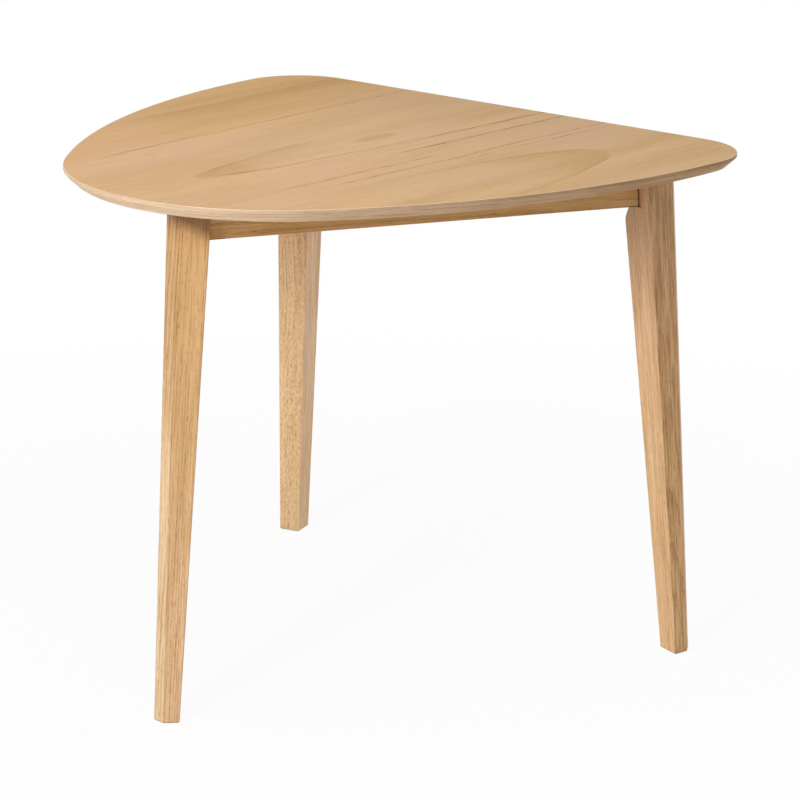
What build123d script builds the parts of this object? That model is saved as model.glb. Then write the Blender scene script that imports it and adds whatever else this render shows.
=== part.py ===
from build123d import *
from math import acos, atan2, cos, degrees, radians, sin, sqrt, tan
import os

# Corner table: a rounded three-sided top on three splayed legs, in millimetres.
# Z points up from the floor, X runs along the straight back edge and Y points towards it.
# The origin is on the floor, below the middle of the top's width and depth.

# Whole table
table_width = 900
table_depth = 800
table_height = 750

# Top board: straight back edge, two back corners, two bowed sides and one front lobe
top_thickness = 18
top_corner_radius = 100
top_side_radius = 960
top_lobe_radius = 302
top_edge_height = 5
top_bevel_inset = 14
top_arris_radius = 1.2

# Leg ring: the three legs and three aprons are spaced evenly round one upright axis
foot_front_inset = 53
foot_back_inset = 76.5
leg_splay = 65

# Leg: a square that tapers downwards, turned corner outwards, with that corner cut flat
foot_side = 35
head_side = 58.5
leg_facet_width = 18
leg_arris_radius = 1.8
foot_chamfer = 1.5

# Leg head: two walls and a ledge that take the apron ends, above a rounded inner corner
apron_joint_gap = 0.8
head_flat_width = 12
shoulder_drop = 33
shoulder_rounding = 11

# Aprons: placed from the middles of the legs, and their ends lean with them
apron_height = 60
apron_thickness = 20
apron_outset = 11.3
apron_end_inset = 24.4
apron_arris_radius = 1

# Corner plate: a bent steel strip behind each leg, screwed to both aprons
plate_thickness = 2.5
plate_height = 46
plate_leg_gap = 35
plate_wing_length = 42
plate_bend_radius = 3
plate_corner_radius = 4
plate_bolt_spacing = 24
plate_screw_spacing = 26
plate_screw_inset = 14

# Hanger bolt with its washer and nut
bolt_diameter = 8
bolt_length = 90
bolt_tail = 3
bolt_point_length = 7
bolt_point_inset = 2.6
bolt_end_chamfer = 0.8
washer_diameter = 17
washer_thickness = 1.6
nut_width = 13
nut_thickness = 6.5
nut_chamfer = 0.6

# Pan-head wood screw, one size throughout
screw_diameter = 4
screw_length = 15
screw_head_diameter = 8
screw_head_height = 2.4
screw_head_chamfer = 0.9
screw_point_length = 3
screw_point_inset = 1.5

# Angle bracket that holds the top to an apron
bracket_leg_length = 20
bracket_width = 18
bracket_thickness = 2
bracket_bend_radius = 1.5
bracket_corner_radius = 3
bracket_hole_distance = 12
bracket_spread = 130

# Nail-on glide under each foot
glide_diameter = 20
glide_height = 2
glide_chamfer = 0.8
nail_diameter = 3
nail_length = 14

# Clearances and overruns
thread_clearance = 0.05
hole_clearance = 0.4
drill_clearance = 1
cut_overrun = 20

# Angles in degrees: the legs stand evenly round the leg ring, and an apron lies opposite each leg
front_leg_angle = -90
turn_angle = 120
half_corner_angle = 30
leg_names = ("front", "right", "left")
apron_names = ("back", "left", "right")
leg_angles = {name: front_leg_angle + turn_angle * turns for turns, name in enumerate(leg_names)}
apron_angles = {name: leg_angles[leg] + 180 for name, leg in zip(apron_names, leg_names)}

# Heights, and the leg ring: as large as the insets of the feet from the front and back edges leave
top_underside = table_height - top_thickness
apron_bottom = top_underside - apron_height
ledge_height = apron_bottom - apron_joint_gap
fastener_height = apron_bottom + apron_height / 2
back_reach_share = sin(radians(half_corner_angle))
foot_ring_radius = (table_depth - foot_front_inset - foot_back_inset) / (1 + back_reach_share)
head_ring_radius = foot_ring_radius - leg_splay
ring_centre_y = table_depth / 2 - foot_back_inset - foot_ring_radius * back_reach_share

os.makedirs("parts", exist_ok=True)


def outward(direction):
    return Vector(cos(radians(direction)), sin(radians(direction)), 0)


def level_plane(direction, height):
    """Lies flat at a height: local x runs outwards from the ring's axis, local y along the ring."""
    return Plane(origin=(0, ring_centre_y, height), x_dir=outward(direction), z_dir=(0, 0, 1))


def facing_plane(direction, distance):
    """Stands upright and faces outwards: local x runs along the ring, local y is the height."""
    centre = Vector(0, ring_centre_y, 0) + outward(direction) * distance
    return Plane(origin=centre, x_dir=outward(direction + 90), z_dir=outward(direction))


def inward_plane(direction, distance):
    """Stands upright and faces the ring's axis: local y is the height."""
    centre = Vector(0, ring_centre_y, 0) + outward(direction) * distance
    return Plane(origin=centre, x_dir=outward(direction - 90), z_dir=outward(direction + 180))


def downward_plane(direction, height):
    """Lies flat at a height and faces down: local x runs outwards from the ring's axis."""
    return Plane(origin=(0, ring_centre_y, height), x_dir=outward(direction), z_dir=(0, 0, -1))


def radial_plane(direction):
    """Stands upright on the ring's axis: local x runs outwards, local y is the height."""
    return Plane(origin=(0, ring_centre_y, 0), x_dir=outward(direction), z_dir=outward(direction - 90))


def along_leg(height, at_foot, at_head):
    """Size of a leg at a height, from its size at the foot and under the top."""
    share = (height - glide_height) / (top_underside - glide_height)
    return at_foot + (at_head - at_foot) * share


def leg_radius(height):
    return along_leg(height, foot_ring_radius, head_ring_radius)


def leg_half_diagonal(height):
    return along_leg(height, foot_side, head_side) / sqrt(2)


def leg_section(height):
    """Corners of a leg's section: the cut outer corner, one side, the inner corner, the other side."""
    radius = leg_radius(height)
    half = leg_half_diagonal(height)
    flat = radius + half - leg_facet_width / 2
    return [
        (flat, leg_facet_width / 2),
        (radius, half),
        (radius - half, 0),
        (radius, -half),
        (flat, -leg_facet_width / 2),
    ]


def inner_corner(height):
    """Distance outwards of a leg's inner corner."""
    return leg_radius(height) - leg_half_diagonal(height)


def apron_end(height):
    """Half the length of an apron at a height: its ends lean in as the legs do."""
    return leg_radius(height) * cos(radians(half_corner_angle)) - apron_end_inset


def head_wall(height, side):
    """Distance outwards of the head's walls at a height, at a distance to one side of the middle."""
    reach = apron_end(height) + apron_joint_gap
    return (reach + side * sin(radians(half_corner_angle))) / cos(radians(half_corner_angle))


def head_cut(height):
    """Outline of what is cut from a leg's head: the two walls and the flat where they would meet."""
    inner = head_wall(height, 0) - head_side
    walls = [(head_wall(height, abs(side)), side) for side in (-head_side, -head_flat_width / 2)]
    return [(inner, -head_side), *walls, *[(x, -y) for x, y in reversed(walls)], (inner, head_side)]


# Aprons, corner plates and hanger bolts: distances outwards from the ring's axis
apron_ring_distance = leg_radius(apron_bottom) * sin(radians(half_corner_angle)) + apron_outset
apron_back = apron_ring_distance - apron_thickness
plate_ring_distance = head_wall(fastener_height, head_flat_width / 2) - plate_leg_gap
plate_back = plate_ring_distance - plate_thickness
washer_seat = plate_back - washer_thickness
nut_seat = washer_seat - nut_thickness
bolt_inner_end = nut_seat - bolt_tail
bolt_outer_end = bolt_inner_end + bolt_length


def plate_half_width(distance):
    """Half the width between the backs of two neighbouring aprons, at a distance outwards."""
    meeting = apron_back / sin(radians(half_corner_angle))
    return (meeting - distance) * tan(radians(half_corner_angle))


def side_arc():
    """Centre of the bowed side's arc and the two directions where it meets the corner and the lobe."""
    corner = Vector(table_width / 2 - top_corner_radius, table_depth / 2 - top_corner_radius)
    lobe = Vector(0, top_lobe_radius - table_depth / 2)
    to_corner = top_side_radius - top_corner_radius
    to_lobe = top_side_radius - top_lobe_radius
    line = lobe - corner
    turn = acos((to_corner**2 + line.length**2 - to_lobe**2) / (2 * to_corner * line.length))
    bearing = atan2(line.Y, line.X) - turn
    centre = corner + Vector(cos(bearing), sin(bearing)) * to_corner
    at_corner = degrees(atan2(corner.Y - centre.Y, corner.X - centre.X))
    at_lobe = degrees(atan2(lobe.Y - centre.Y, lobe.X - centre.X))
    return corner, lobe, centre, at_corner, at_lobe


def plate_screw_distance():
    """Distance along an apron, from its middle, of the corner plate's screws."""
    bend = plate_ring_distance * cos(radians(half_corner_angle))
    bend -= plate_half_width(plate_ring_distance) * sin(radians(half_corner_angle))
    return bend - plate_wing_length + plate_screw_inset


def places(plane, points):
    """Locations of points on a plane, each facing as the plane does."""
    return [plane.location * Location((x, y, 0)) for x, y in points]


def bolt_places(direction, distance, facing):
    """The two hanger bolts of one leg, at a distance outwards, facing outwards or inwards."""
    plane = facing(direction, distance)
    heights = [fastener_height + side * plate_bolt_spacing / 2 for side in (-1, 1)]
    return places(plane, [(0, height) for height in heights])


def plate_screw_places(direction):
    """Seats of the screws that hold one corner plate, on the inner faces of its two wings."""
    heights = [fastener_height + side * plate_screw_spacing / 2 for side in (-1, 1)]
    seats = []
    for side in (-1, 1):
        plane = inward_plane(direction + side * (90 - half_corner_angle), apron_back - plate_thickness)
        seats += places(plane, [(side * plate_screw_distance(), height) for height in heights])
    return seats


def apron_screw_places(direction):
    """Seats of the screws that hold the angle brackets to one apron."""
    plane = inward_plane(direction, apron_back - bracket_thickness)
    height = top_underside - bracket_hole_distance
    return places(plane, [(spread, height) for spread in (-bracket_spread, bracket_spread)])


def top_screw_places(direction):
    """Seats of the screws driven up through one apron's angle brackets into the top."""
    plane = downward_plane(direction, top_underside - bracket_thickness)
    distance = apron_back - bracket_hole_distance
    return places(plane, [(distance, spread) for spread in (-bracket_spread, bracket_spread)])


def drill_pilot_holes(seats):
    """Holes for wood screws, from the seats of their heads."""
    with Locations(*seats):
        Hole(screw_diameter / 2 + thread_clearance, screw_length + drill_clearance)


# Top board: the right half of the outline is mirrored, and the lower edge is bevelled all round
corner_centre, lobe_centre, side_centre, at_corner, at_lobe = side_arc()
with BuildPart() as table_top:
    with BuildSketch(Plane.XY.offset(top_underside)):
        with BuildLine():
            Line((0, table_depth / 2), (corner_centre.X, table_depth / 2))
            CenterArc(corner_centre, top_corner_radius, at_corner, 90 - at_corner)
            CenterArc(side_centre, top_side_radius, at_lobe, at_corner - at_lobe)
            CenterArc(lobe_centre, top_lobe_radius, -90, at_lobe + 90)
            mirror(about=Plane.YZ)
        make_face()
    extrude(amount=top_thickness)
    underside = table_top.faces().sort_by(Axis.Z)[0]
    bevel_height = top_thickness - top_edge_height
    chamfer(underside.edges(), top_bevel_inset, bevel_height, reference=underside)
    fillet(table_top.faces().sort_by(Axis.Z)[-1].edges(), top_arris_radius)
    for direction in apron_angles.values():
        drill_pilot_holes(top_screw_places(direction))
table_top.part.label = "table_top"
export_step(table_top.part, "parts/table_top.step")


# Legs: a tapered, splayed body, then the head's walls and ledge, the rounded shoulder and the holes
for name, direction in leg_angles.items():
    with BuildPart() as leg:
        for height in (glide_height, top_underside):
            with BuildSketch(level_plane(direction, height)):
                Polygon(*leg_section(height), align=None)
        loft(ruled=True)
        fillet(leg.edges().sort_by(SortBy.LENGTH)[-5:], leg_arris_radius)
        chamfer(leg.faces().sort_by(Axis.Z)[0].edges(), foot_chamfer)
        for height in (ledge_height, top_underside + cut_overrun):
            with BuildSketch(level_plane(direction, height)):
                Polygon(*head_cut(height), align=None)
        loft(ruled=True, mode=Mode.SUBTRACT)
        with BuildSketch(radial_plane(direction)):
            with BuildLine():
                start = (inner_corner(ledge_height - shoulder_drop), ledge_height - shoulder_drop)
                end = (inner_corner(ledge_height) + shoulder_rounding, ledge_height)
                slope = (inner_corner(end[1]) - inner_corner(start[1]), shoulder_drop)
                TangentArc(start, end, tangent=slope)
                Polyline(
                    end,
                    (end[0], end[1] + cut_overrun),
                    (start[0] - cut_overrun, end[1] + cut_overrun),
                    (start[0] - cut_overrun, start[1]),
                    start,
                )
            make_face()
        extrude(amount=head_side, both=True, mode=Mode.SUBTRACT)
        with Locations(*bolt_places(direction, plate_ring_distance, inward_plane)):
            depth = bolt_outer_end + drill_clearance - plate_ring_distance
            Hole(bolt_diameter / 2 + thread_clearance, depth)
        with Locations(*places(downward_plane(direction, glide_height), [(foot_ring_radius, 0)])):
            Hole(nail_diameter / 2 + thread_clearance, nail_length + drill_clearance)
    leg.part.label = f"{name}_leg"
    export_step(leg.part, f"parts/{name}_leg.step")


# Aprons: the ends lean with the legs, and the lower arrises are rounded
for name, direction in apron_angles.items():
    with BuildPart() as apron:
        with BuildSketch(facing_plane(direction, apron_back)):
            Polygon(
                (-apron_end(apron_bottom), apron_bottom),
                (apron_end(apron_bottom), apron_bottom),
                (apron_end(top_underside), top_underside),
                (-apron_end(top_underside), top_underside),
                align=None,
            )
        extrude(amount=apron_thickness)
        lower_edges = apron.edges().group_by(Axis.Z)[0]
        fillet(lower_edges.sort_by(SortBy.LENGTH)[-2:], apron_arris_radius)
        for leg_direction in leg_angles.values():
            drill_pilot_holes(plate_screw_places(leg_direction))
        drill_pilot_holes(apron_screw_places(direction))
    apron.part.label = f"{name}_apron"
    export_step(apron.part, f"parts/{name}_apron.step")


# Corner plates: one bent strip per leg, its wings flat against the backs of two aprons
for name, direction in leg_angles.items():
    with BuildPart() as plate:
        with BuildSketch(level_plane(direction, fastener_height - plate_height / 2)):
            with BuildLine():
                half = plate_half_width(plate_ring_distance)
                wing_x = plate_ring_distance - plate_wing_length * cos(radians(half_corner_angle))
                wing_y = half + plate_wing_length * sin(radians(half_corner_angle))
                FilletPolyline(
                    (wing_x, -wing_y),
                    (plate_ring_distance, -half),
                    (plate_ring_distance, half),
                    (wing_x, wing_y),
                    radius=plate_bend_radius + plate_thickness,
                )
                offset(amount=plate_thickness, side=Side.LEFT)
            make_face()
        extrude(amount=plate_height)
        fillet(plate.edges().sort_by(SortBy.LENGTH)[:4], plate_corner_radius)
        with Locations(*bolt_places(direction, plate_back, inward_plane)):
            Hole(bolt_diameter / 2 + hole_clearance, plate_thickness + drill_clearance)
        with Locations(*plate_screw_places(direction)):
            Hole(screw_diameter / 2 + hole_clearance, plate_thickness + drill_clearance)
    plate.part.label = f"{name}_corner_plate"
    export_step(plate.part, f"parts/{name}_corner_plate.step")


# One hanger bolt, standing on its inner end, with its wood end drawn in to a blunt point
with BuildPart() as bolt:
    with BuildSketch():
        Circle(bolt_diameter / 2)
    extrude(amount=bolt_length)
    chamfer(bolt.edges().sort_by(Axis.Z)[0], bolt_end_chamfer)
    outer_end = bolt.faces().sort_by(Axis.Z)[-1]
    chamfer(outer_end.edges(), bolt_point_inset, bolt_point_length, reference=outer_end)

with BuildPart() as washer:
    with BuildSketch():
        Circle(washer_diameter / 2)
        Circle(bolt_diameter / 2 + hole_clearance, mode=Mode.SUBTRACT)
    extrude(amount=washer_thickness)

# One nut, its corners turned down at the outer face
with BuildPart() as nut:
    with BuildSketch():
        RegularPolygon(nut_width / 2, 6, major_radius=False)
        Circle(bolt_diameter / 2 + thread_clearance, mode=Mode.SUBTRACT)
    extrude(amount=nut_thickness)
    chamfer(nut.faces().sort_by(Axis.Z)[0].outer_wire().edges(), nut_chamfer)

# One wood screw: the underside of its head lies on the plane and its point is below
with BuildPart() as wood_screw:
    with BuildSketch():
        Circle(screw_head_diameter / 2)
    extrude(amount=screw_head_height)
    chamfer(wood_screw.edges().sort_by(Axis.Z)[-1], screw_head_chamfer)
    with BuildSketch():
        Circle(screw_diameter / 2)
    extrude(amount=-screw_length)
    point = wood_screw.faces().sort_by(Axis.Z)[0]
    chamfer(point.edges(), screw_point_inset, screw_point_length, reference=point)


# Fasteners of each corner and each apron, grouped by kind
for name, direction in leg_angles.items():
    corner_groups = {
        "hanger_bolts": (bolt, bolt_places(direction, bolt_inner_end, facing_plane)),
        "washers": (washer, bolt_places(direction, washer_seat, facing_plane)),
        "nuts": (nut, bolt_places(direction, nut_seat, facing_plane)),
        "plate_screws": (wood_screw, plate_screw_places(direction)),
    }
    for kind, (piece, seats) in corner_groups.items():
        with BuildPart() as group:
            with Locations(*seats):
                add(piece.part)
        group.part.label = f"{name}_{kind}"
        export_step(group.part, f"parts/{name}_{kind}.step")

for name, direction in apron_angles.items():
    screw_groups = {
        "bracket_screws": apron_screw_places(direction),
        "top_screws": top_screw_places(direction),
    }
    for kind, seats in screw_groups.items():
        with BuildPart() as group:
            with Locations(*seats):
                add(wood_screw.part)
        group.part.label = f"{name}_{kind}"
        export_step(group.part, f"parts/{name}_{kind}.step")


# Angle brackets: two bent strips behind each apron, up under the top
for name, direction in apron_angles.items():
    with BuildPart() as brackets:
        for spread in (-bracket_spread, bracket_spread):
            with BuildSketch(radial_plane(direction).offset(spread - bracket_width / 2)):
                with BuildLine():
                    FilletPolyline(
                        (apron_back, top_underside - bracket_leg_length),
                        (apron_back, top_underside),
                        (apron_back - bracket_leg_length, top_underside),
                        radius=bracket_bend_radius + bracket_thickness,
                    )
                    offset(amount=bracket_thickness, side=Side.LEFT)
                make_face()
            extrude(amount=bracket_width)
        fillet(brackets.edges().sort_by(SortBy.LENGTH)[:8], bracket_corner_radius)
        with Locations(*apron_screw_places(direction), *top_screw_places(direction)):
            Hole(screw_diameter / 2 + hole_clearance, bracket_thickness + drill_clearance)
    brackets.part.label = f"{name}_top_brackets"
    export_step(brackets.part, f"parts/{name}_top_brackets.step")


# Glides: a round pad on the floor, with a nail up into the foot
for name, direction in leg_angles.items():
    with BuildPart() as glide:
        for height, diameter, amount in (
            (0, glide_diameter, glide_height),
            (glide_height, nail_diameter, nail_length),
        ):
            with BuildSketch(level_plane(direction, height)):
                with Locations((foot_ring_radius, 0)):
                    Circle(diameter / 2)
            extrude(amount=amount)
        chamfer(glide.edges().sort_by(Axis.Z)[0], glide_chamfer)
    glide.part.label = f"{name}_glide"
    export_step(glide.part, f"parts/{name}_glide.step")
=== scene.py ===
import math

import bmesh
import bpy
from mathutils import Matrix, Vector


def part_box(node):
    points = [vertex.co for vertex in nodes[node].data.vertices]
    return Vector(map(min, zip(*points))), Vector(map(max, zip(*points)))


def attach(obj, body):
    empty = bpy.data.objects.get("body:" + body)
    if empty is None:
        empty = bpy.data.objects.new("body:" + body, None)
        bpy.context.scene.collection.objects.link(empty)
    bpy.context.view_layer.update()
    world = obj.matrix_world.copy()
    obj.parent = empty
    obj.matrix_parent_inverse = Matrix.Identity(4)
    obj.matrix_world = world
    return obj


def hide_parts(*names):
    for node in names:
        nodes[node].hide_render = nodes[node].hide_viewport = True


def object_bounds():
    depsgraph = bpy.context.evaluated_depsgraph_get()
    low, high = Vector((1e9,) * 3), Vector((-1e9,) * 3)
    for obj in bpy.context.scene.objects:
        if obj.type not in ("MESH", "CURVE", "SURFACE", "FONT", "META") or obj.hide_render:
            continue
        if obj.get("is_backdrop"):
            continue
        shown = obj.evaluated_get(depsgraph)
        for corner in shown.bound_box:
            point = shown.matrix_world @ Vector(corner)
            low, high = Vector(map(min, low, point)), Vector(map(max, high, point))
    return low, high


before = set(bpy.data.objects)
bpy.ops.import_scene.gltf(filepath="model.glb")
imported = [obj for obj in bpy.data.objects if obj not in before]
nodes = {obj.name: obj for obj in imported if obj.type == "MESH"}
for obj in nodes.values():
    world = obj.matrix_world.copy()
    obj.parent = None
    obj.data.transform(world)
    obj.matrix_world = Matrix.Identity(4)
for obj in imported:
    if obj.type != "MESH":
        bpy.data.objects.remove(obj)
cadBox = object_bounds()
print("frame loaded with", len(nodes), "nodes")


def addObject(name, data):
    added = bpy.data.objects.new(name, data)
    bpy.context.scene.collection.objects.link(added)
    return added


# Camera, in metres and degrees, as found by fitting the table to the photograph
cameraSizes = {
    "place": (2.3786, -2.6115, 1.5016),
    "heading": 130.82,
    "downTilt": 17.553,
    "roll": 0.2575,
    "focalPixels": 2579.16,
    "imagePixels": 800,
    "centrePixel": (399.53, 398.37),
    "sensorWidth": 36,
}


def makeCamera(sizes):
    heading = math.radians(sizes["heading"])
    tilt = math.radians(sizes["downTilt"])
    roll = math.radians(sizes["roll"])
    level = math.cos(tilt)
    ahead = Vector((math.cos(heading) * level, math.sin(heading) * level, -math.sin(tilt)))
    side = ahead.cross(Vector((0, 0, 1))).normalized()
    above = side.cross(ahead)
    across = side * math.cos(roll) + above * math.sin(roll)
    upwards = above * math.cos(roll) - side * math.sin(roll)
    data = bpy.data.cameras.new("photoCamera")
    data.sensor_width = sizes["sensorWidth"]
    data.lens = sizes["sensorWidth"] * sizes["focalPixels"] / sizes["imagePixels"]
    middle = sizes["imagePixels"] / 2
    data.shift_x = (middle - sizes["centrePixel"][0]) / sizes["imagePixels"]
    data.shift_y = (sizes["centrePixel"][1] - middle) / sizes["imagePixels"]
    camera = addObject("photoCamera", data)
    turn = Matrix((across, upwards, -ahead)).transposed().to_4x4()
    camera.matrix_world = Matrix.Translation(sizes["place"]) @ turn
    bpy.context.scene.camera = camera


makeCamera(cameraSizes)
print("camera made")


# Node trees. A value that is a socket is linked, and any other value is set.
def setSocket(tree, socket, value):
    if isinstance(value, bpy.types.NodeSocket):
        tree.links.new(value, socket)
    else:
        socket.default_value = value


def addNode(tree, kind, sockets=None, **settings):
    node = tree.nodes.new(kind)
    for name, value in settings.items():
        setattr(node, name, value)
    for name, value in (sockets or {}).items():
        setSocket(tree, node.inputs[name], value)
    return node


def calculate(tree, operation, *values):
    return addNode(tree, "ShaderNodeMath", dict(enumerate(values)), operation=operation).outputs[0]


def multiply(tree, first, second):
    return calculate(tree, "MULTIPLY", first, second)


def vectorMath(tree, operation, *values):
    return addNode(tree, "ShaderNodeVectorMath", dict(enumerate(values)), operation=operation).outputs


def stretchRange(tree, value, low, high, toLow=0.0, toHigh=1.0, kind="SMOOTHSTEP"):
    sockets = {"Value": value, "From Min": low, "From Max": high, "To Min": toLow, "To Max": toHigh}
    return addNode(tree, "ShaderNodeMapRange", sockets, interpolation_type=kind).outputs["Result"]


def makeNoise(tree, place, noise):
    # waves says how many noise cells fit in a metre along each axis
    scaled = vectorMath(tree, "MULTIPLY", place, noise["waves"])[0]
    sockets = {"Vector": scaled, "Scale": 1.0, "Detail": noise["detail"],
               "Roughness": noise.get("roughness", 0.5)}
    return addNode(tree, "ShaderNodeTexNoise", sockets).outputs["Fac"]


def noiseRange(tree, place, noise, kind="SMOOTHSTEP"):
    return stretchRange(tree, makeNoise(tree, place, noise), *noise["range"], kind=kind)


def noiseSwing(tree, place, noise):
    # to both sides of zero, by half the swing at most
    centred = calculate(tree, "SUBTRACT", makeNoise(tree, place, noise), 0.5)
    return multiply(tree, centred, noise["swing"])


def mixColours(tree, factor, first, second, blend="MIX"):
    node = addNode(tree, "ShaderNodeMix", data_type="RGBA", blend_type=blend)
    for number, value in ((0, factor), (6, first), (7, second)):
        setSocket(tree, node.inputs[number], value)
    return node.outputs[2]


def tintColour(tree, factor, colour, tint):
    return mixColours(tree, factor, colour, tint, "MULTIPLY")


def greyOf(tree, value):
    return addNode(tree, "ShaderNodeCombineColor", {0: value, 1: value, 2: value}).outputs[0]


def photoColour(red, green, blue):
    # from 0 to 255 display values to the linear values that a shader takes
    def toLinear(value):
        share = value / 255
        return share / 12.92 if share <= 0.04045 else ((share + 0.055) / 1.055) ** 2.4

    return (toLinear(red), toLinear(green), toLinear(blue), 1.0)


def newMaterial(name):
    material = bpy.data.materials.new(name)
    material.use_nodes = True
    material.node_tree.nodes.clear()
    return material


def finishMaterial(material, colour, roughness, height, bumpDistance, shine=0.5, metallic=0.0):
    tree = material.node_tree
    bump = addNode(tree, "ShaderNodeBump", {"Height": height, "Distance": bumpDistance})
    sockets = {"Base Color": colour, "Roughness": roughness, "Normal": bump.outputs["Normal"],
               "Specular IOR Level": shine, "Metallic": metallic}
    shader = addNode(tree, "ShaderNodeBsdfPrincipled", sockets)
    addNode(tree, "ShaderNodeOutputMaterial", {"Surface": shader.outputs[0]})
    return material


def objectPlace(tree):
    return addNode(tree, "ShaderNodeTexCoord").outputs["Object"]


def splitPlace(tree, place):
    return addNode(tree, "ShaderNodeSeparateXYZ", {"Vector": place}).outputs


def surfaceNormal(tree):
    return addNode(tree, "ShaderNodeNewGeometry").outputs["Normal"]


def addPores(tree, colour, place, look, darkness):
    # pores crowd where the wood is dark
    limit = stretchRange(tree, darkness, *look["poreLimit"], kind="LINEAR")
    pore = calculate(tree, "SUBTRACT", makeNoise(tree, place, look["poreNoise"]), limit)
    pore = stretchRange(tree, pore, 0.0, look["poreRim"])
    return mixColours(tree, multiply(tree, pore, look["poreStrength"]), colour, look["pore"]), pore


# Solid oak. A board's local x runs across it, y along the grain and z out through its outer side, and
# its growth rings lie round a pith line beside it. A range is where something starts and ends, and
# after these what it starts and ends at. Places and heights are in metres.
oakLook = {
    "light": photoColour(226, 184, 136),
    "middle": photoColour(212, 167, 115),
    "dark": photoColour(176, 128, 80),
    "shaded": photoColour(184, 136, 66),
    "pore": photoColour(124, 80, 44),
    "gap": photoColour(48, 30, 16),
    "streak": (0.80, 0.69, 0.53, 1.0),
    "coarse": (0.66, 0.52, 0.34, 1.0),
    "swingNoise": {"waves": (3, 1.4, 3), "detail": 1.0},
    "pithSwing": 0.06,
    "ringSpacing": 0.0036,
    "ringNoise": {"waves": (70, 4.5, 70), "detail": 3.0},
    "ringSwing": 1.1,
    "lateBegins": (0.4, 0.92),
    "lateEnds": (1.0, 0.92),
    "lateNoise": {"waves": (90, 1.8, 90), "detail": 1.0, "range": (0.35, 0.65, 0.15, 1.0)},
    "ringDepth": 0.3,
    "cloudNoise": {"waves": (45, 2.6, 45), "detail": 3.0, "range": (0.3, 0.7)},
    "streakNoise": {"waves": (440, 9, 440), "detail": 3.0, "roughness": 0.65, "range": (0.36, 0.72)},
    "dashNoise": {"waves": (560, 34, 560), "detail": 2.0, "roughness": 0.6,
                  "range": (0.6, 0.7, 0.0, 0.75)},
    "coarseNoise": {"waves": (430, 12, 430), "detail": 3.0, "roughness": 0.7, "range": (0.5, 0.6)},
    "fibreNoise": {"waves": (2100, 40, 2100), "detail": 2.0, "roughness": 0.6,
                   "range": (0.3, 0.72, 1.1, 0.96)},
    "rayNoise": {"waves": (620, 150, 620), "detail": 2.0, "roughness": 0.7},
    "brightRays": (0.5, 0.6, 0.0, 0.85),
    "dullRays": (0.45, 0.35, 0.0, 0.6),
    "poreNoise": {"waves": (1500, 85, 1500), "detail": 1.0},
    "poreLimit": (0.0, 0.8, 0.68, 0.56),
    "poreRim": 0.08,
    "poreStrength": 0.5,
    "poreDepth": 0.0003,
    "fibreHeight": 0.15,
    "outerFacing": (0.2, 0.35),
    "coarseDepths": (0.25, 0.9),
    "sideBlend": 0.002,
    "tintHeights": (0.12, 0.64),
    "shadowHeights": (0.701, 0.718),
    "shadowSlope": 0.71,
    "flatBlend": (0.0002, -0.0004),
    "flatDepth": (0.008, 0.012),
    "darkArris": (0.0009, 0.0003, 0.0, 0.25),
    "arrisHighlight": (0.36, 0.14, 0.0, 0.55),
    "endGrain": (0.0052, 0.0032, 0.0, 0.55),
    "gapReach": (0.0021, 0.0009),
    "underDrop": (0.0018, 0.0006),
    "underReach": (0.026, 0.02),
    "gapShade": 0.85,
    "roughness": (0.3, 0.7, 0.4, 0.56),
    "shine": 0.5,
}
# Each board: tone darkens it, shade darkens its outer side, fleck breaks it up with short rays, and
# flatHalf is half the width of the flat along its outer corner. Tints are two, at the head and at the
# foot: for the whole board, for that flat, and for the side that has no flecks. They are partly the
# wood's colour and partly painted light and shade, and the flat's tints are painted light and shade
# alone. Shadow is the tint of the painted shadow close under the top, whose lower edge slants across the
# board.
apronBoard = {"tone": 0.1, "shade": 0.0, "fleck": 0.1, "flatHalf": 0.0,
              "tints": ((1.02, 1.02, 0.9), (1.02, 1.02, 0.9)),
              "flatLightTints": None, "plainTints": None, "shadow": None}
apronBoards = {
    "right": {**apronBoard, "tone": 0.12, "pith": (0.012, -0.12),
              "tints": ((1.0, 1.01, 0.80), (1.0, 1.01, 0.80))},
    "back": {**apronBoard, "pith": (-0.02, -0.1)},
    "left": {**apronBoard, "fleck": 0.3, "pith": (0.03, -0.09)},
}
legBoard = {**apronBoard, "tone": 0.0, "fleck": 0.0, "flatHalf": 0.0088}
legBoards = {
    "front": {**legBoard, "pith": (0.055, -0.075), "shadow": (0.49, 0.40, 0.33),
              "tints": ((0.88, 0.87, 0.76), (1.05, 1.12, 1.26)),
              "flatLightTints": ((0.9, 0.93, 1.0), (1.07, 1.22, 1.42))},
    "right": {**legBoard, "pith": (0.03, -0.06), "shade": 0.4, "fleck": 0.15,
              "tints": ((0.97, 1.03, 1.20), (1.09, 1.17, 1.28))},
    "left": {**legBoard, "pith": (-0.09, 0.03), "fleck": 1.0,
             "tints": ((1.14, 1.19, 1.27), (1.12, 1.27, 1.44)),
             "plainTints": ((0.92, 0.95, 1.08), (1.18, 1.21, 1.37))},
}
# lean is in degrees, and stagger takes each board from another stretch of the log
legSizes = {"lean": 5.09, "stagger": 1.7}
apronSizes = {"stagger": 2.3, "levelSlack": 0.002}


def boardPlace(tree, origin, turn, look):
    # where a point is on its board, how squarely it faces out of it, and how high it is above the floor
    sockets = {"Vector": objectPlace(tree), "Location": origin, "Rotation": turn.to_euler()}
    place = addNode(tree, "ShaderNodeMapping", sockets, vector_type="TEXTURE").outputs[0]
    x, y, z = splitPlace(tree, place)[:3]
    facing = vectorMath(tree, "DOT_PRODUCT", surfaceNormal(tree), turn.col[2])["Value"]
    height = splitPlace(tree, objectPlace(tree))[2]
    headShare = stretchRange(tree, height, *look["tintHeights"])
    return {"place": place, "x": x, "y": y, "z": z,
            "facing": facing, "height": height, "headShare": headShare}


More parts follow.
